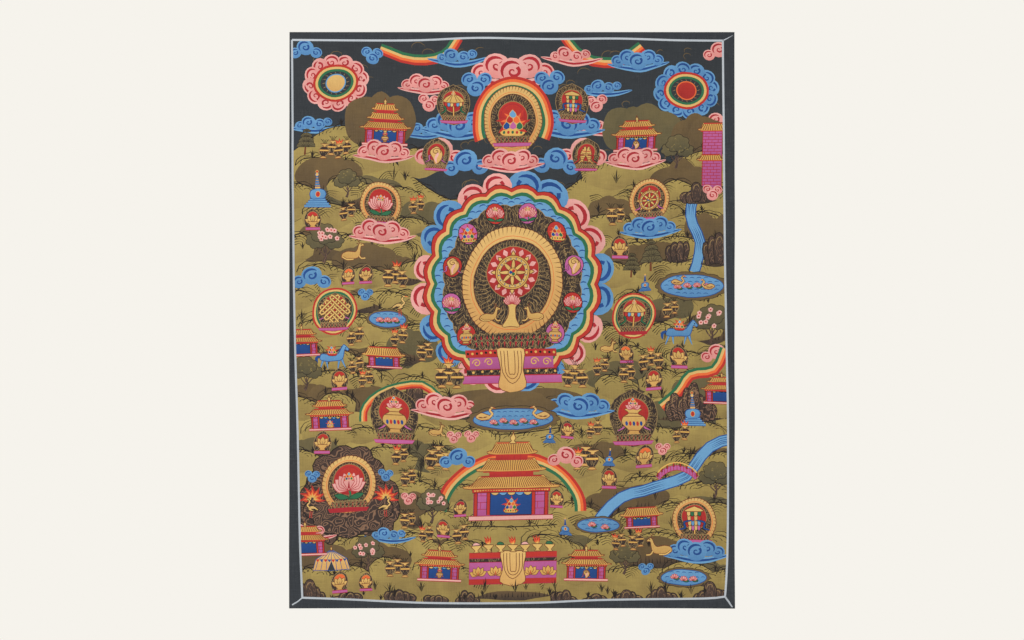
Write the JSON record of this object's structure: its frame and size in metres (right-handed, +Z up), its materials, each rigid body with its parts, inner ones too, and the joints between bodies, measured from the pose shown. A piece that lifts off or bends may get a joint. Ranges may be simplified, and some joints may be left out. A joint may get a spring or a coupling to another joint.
{
  "type": "thangka scroll painting",
  "caption": "Rectangular sheet of primed and painted cotton cloth with a dark margin and a pale border line, hung from its top edge.",
  "frame": {"origin": "middle of the top edge, on the painted face", "axes": "+Z up the cloth, +X to the right of someone who faces the painting, -Y out of the painted face"},
  "size_m": [0.51, 0.0094, 0.66],
  "materials": {
    "painted_cotton": "matt distemper paint on primed cotton, many colours on a black ground, raw cotton at the back"
  },
  "bodies": {
    "root": {"painted_cloth": "painted_cotton"}
  },
  "joints": []
}
